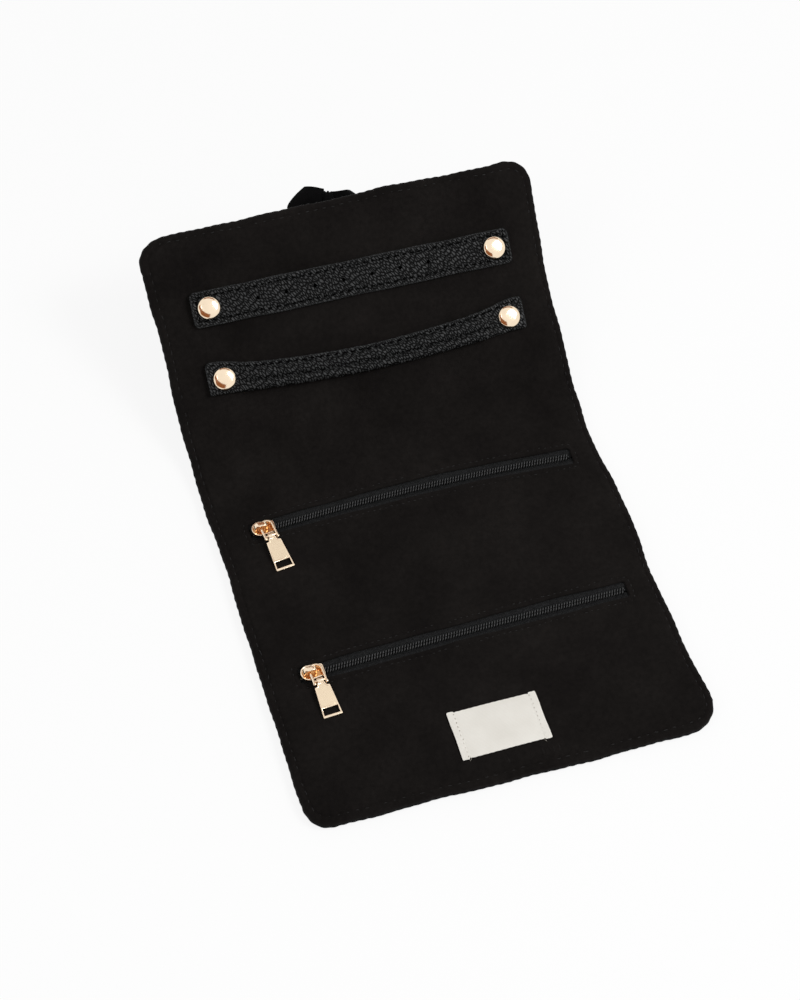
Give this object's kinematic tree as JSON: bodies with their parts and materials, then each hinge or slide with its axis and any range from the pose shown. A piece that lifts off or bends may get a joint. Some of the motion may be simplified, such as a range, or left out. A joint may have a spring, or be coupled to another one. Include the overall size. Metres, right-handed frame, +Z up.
{
  "type": "jewelry roll",
  "caption": "padded cloth jewelry roll lying open with its flap raised: zipped pockets, a padded ring bar, a pierced earring strip and a bow",
  "frame": {"origin": "centre of the middle panel's underside, which lies on the table", "axes": "+X across the width to the right, +Y from the middle panel towards the raised flap, +Z up"},
  "size_m": [0.18, 0.2803, 0.0627],
  "materials": {
    "velvet_cover": "short black velvet pile",
    "suede_lining": "matt black faux suede",
    "wadding": "loose grey polyester wadding",
    "pocket_cloth": "plain black woven cloth",
    "zip_tape": "dark grey woven tape",
    "zip_coil": "black nylon coil",
    "leather": "black pebbled leather",
    "gold_metal": "polished pale rose-gold plating",
    "label": "off-white satin, bare",
    "magnet": "plain nickel disc"
  },
  "bodies": {
    "middle": {"middle_cover": "velvet_cover", "middle_wadding": "wadding", "middle_lining": "suede_lining", "middle_pocket_back": "pocket_cloth", "middle_zip_tape_upper": "zip_tape", "middle_zip_coil_upper": "zip_coil", "middle_zip_tape_lower": "zip_tape", "middle_zip_coil_lower": "zip_coil"},
    "bottom": {"bottom_cover": "velvet_cover", "bottom_wadding": "wadding", "bottom_lining": "suede_lining", "bottom_pocket_back": "pocket_cloth", "bottom_zip_tape_upper": "zip_tape", "bottom_zip_coil_upper": "zip_coil", "bottom_zip_tape_lower": "zip_tape", "bottom_zip_coil_lower": "zip_coil", "bottom_magnet": "magnet", "label": "label"},
    "spine": {"spine_cover": "velvet_cover", "spine_wadding": "wadding", "spine_lining": "suede_lining"},
    "flap": {"flap_cover": "velvet_cover", "flap_wadding": "wadding", "flap_lining": "suede_lining", "flap_magnet": "magnet", "bow_left_loop": "velvet_cover", "bow_right_loop": "velvet_cover", "bow_knot": "velvet_cover", "bow_left_tail": "velvet_cover", "bow_right_tail": "velvet_cover", "earring_strip_root": "leather", "ring_bar_root": "leather", "earring_left_cap": "gold_metal", "earring_left_socket": "gold_metal", "earring_left_stud": "gold_metal", "earring_right_stud": "gold_metal", "ring_bar_left_cap": "gold_metal", "ring_bar_left_socket": "gold_metal", "ring_bar_left_stud": "gold_metal", "ring_bar_right_stud": "gold_metal"},
    "earring_strip": {"earring_strip_face": "leather", "earring_strip_backing": "leather", "earring_right_cap": "gold_metal", "earring_right_socket": "gold_metal"},
    "ring_bar": {"ring_bar_sleeve": "leather", "ring_bar_core": "wadding", "ring_bar_right_cap": "gold_metal", "ring_bar_right_socket": "gold_metal"},
    "middle_slider": {"middle_slider": "gold_metal"},
    "middle_pull_ring": {"middle_pull_ring": "gold_metal"},
    "middle_pull_plate": {"middle_pull_plate": "gold_metal"},
    "bottom_slider": {"bottom_slider": "gold_metal"},
    "bottom_pull_ring": {"bottom_pull_ring": "gold_metal"},
    "bottom_pull_plate": {"bottom_pull_plate": "gold_metal"}
  },
  "joints": [
    {"name": "spine_fold", "type": "hinge", "parent": "middle", "child": "spine", "pos_m": [0, 0.043, 0.0065], "axis": [1, 0, 0], "range_deg": [-14, 73]},
    {"name": "flap_fold", "type": "hinge", "parent": "spine", "child": "flap", "pos_m": [0, 0.06595, 0.01352], "axis": [1, 0, 0], "range_deg": [-14, 73]},
    {"name": "bottom_fold", "type": "hinge", "parent": "middle", "child": "bottom", "pos_m": [0, -0.043, 0.01], "axis": [-1, 0, 0], "range_deg": [0, 179]},
    {"name": "earring_strip_lift", "type": "hinge", "parent": "flap", "child": "earring_strip", "pos_m": [-0.06, 0.10782, 0.04622], "axis": [0, 0.829, 0.5592], "range_deg": [-110, 0]},
    {"name": "ring_bar_lift", "type": "hinge", "parent": "flap", "child": "ring_bar", "pos_m": [-0.06, 0.08129, 0.02833], "axis": [0, 0.829, 0.5592], "range_deg": [-90, 0]},
    {"name": "middle_zip_slide", "type": "slide", "parent": "middle", "child": "middle_slider", "axis": [0.9999, 0.0101, 0], "range_m": [0, 0.13875]},
    {"name": "middle_ring_swivel", "type": "hinge", "parent": "middle_slider", "child": "middle_pull_ring", "pos_m": [-0.067, 0.01402, 0.0098], "axis": [0, 0, 1], "range_deg": [-31.2, 53.8]},
    {"name": "middle_pull_lift", "type": "hinge", "parent": "middle_pull_ring", "child": "middle_pull_plate", "pos_m": [-0.06634, 0.00851, 0.0098], "axis": [0.993, 0.1181, 0], "range_deg": [-115, 0]},
    {"name": "bottom_zip_slide", "type": "slide", "parent": "bottom", "child": "bottom_slider", "axis": [0.9998, 0.0218, 0], "range_m": [0, 0.13875]},
    {"name": "bottom_ring_swivel", "type": "hinge", "parent": "bottom_slider", "child": "bottom_pull_ring", "pos_m": [-0.06698, -0.05996, 0.0098], "axis": [0, 0, 1], "range_deg": [-27.2, 57.8]},
    {"name": "bottom_pull_lift", "type": "hinge", "parent": "bottom_pull_ring", "child": "bottom_pull_plate", "pos_m": [-0.06665, -0.0655, 0.0098], "axis": [0.9982, 0.0602, 0], "range_deg": [-115, 0]}
  ],
  "couplings": [
    {"joint": "flap_fold", "follows": "spine_fold", "ratio": 1}
  ]
}
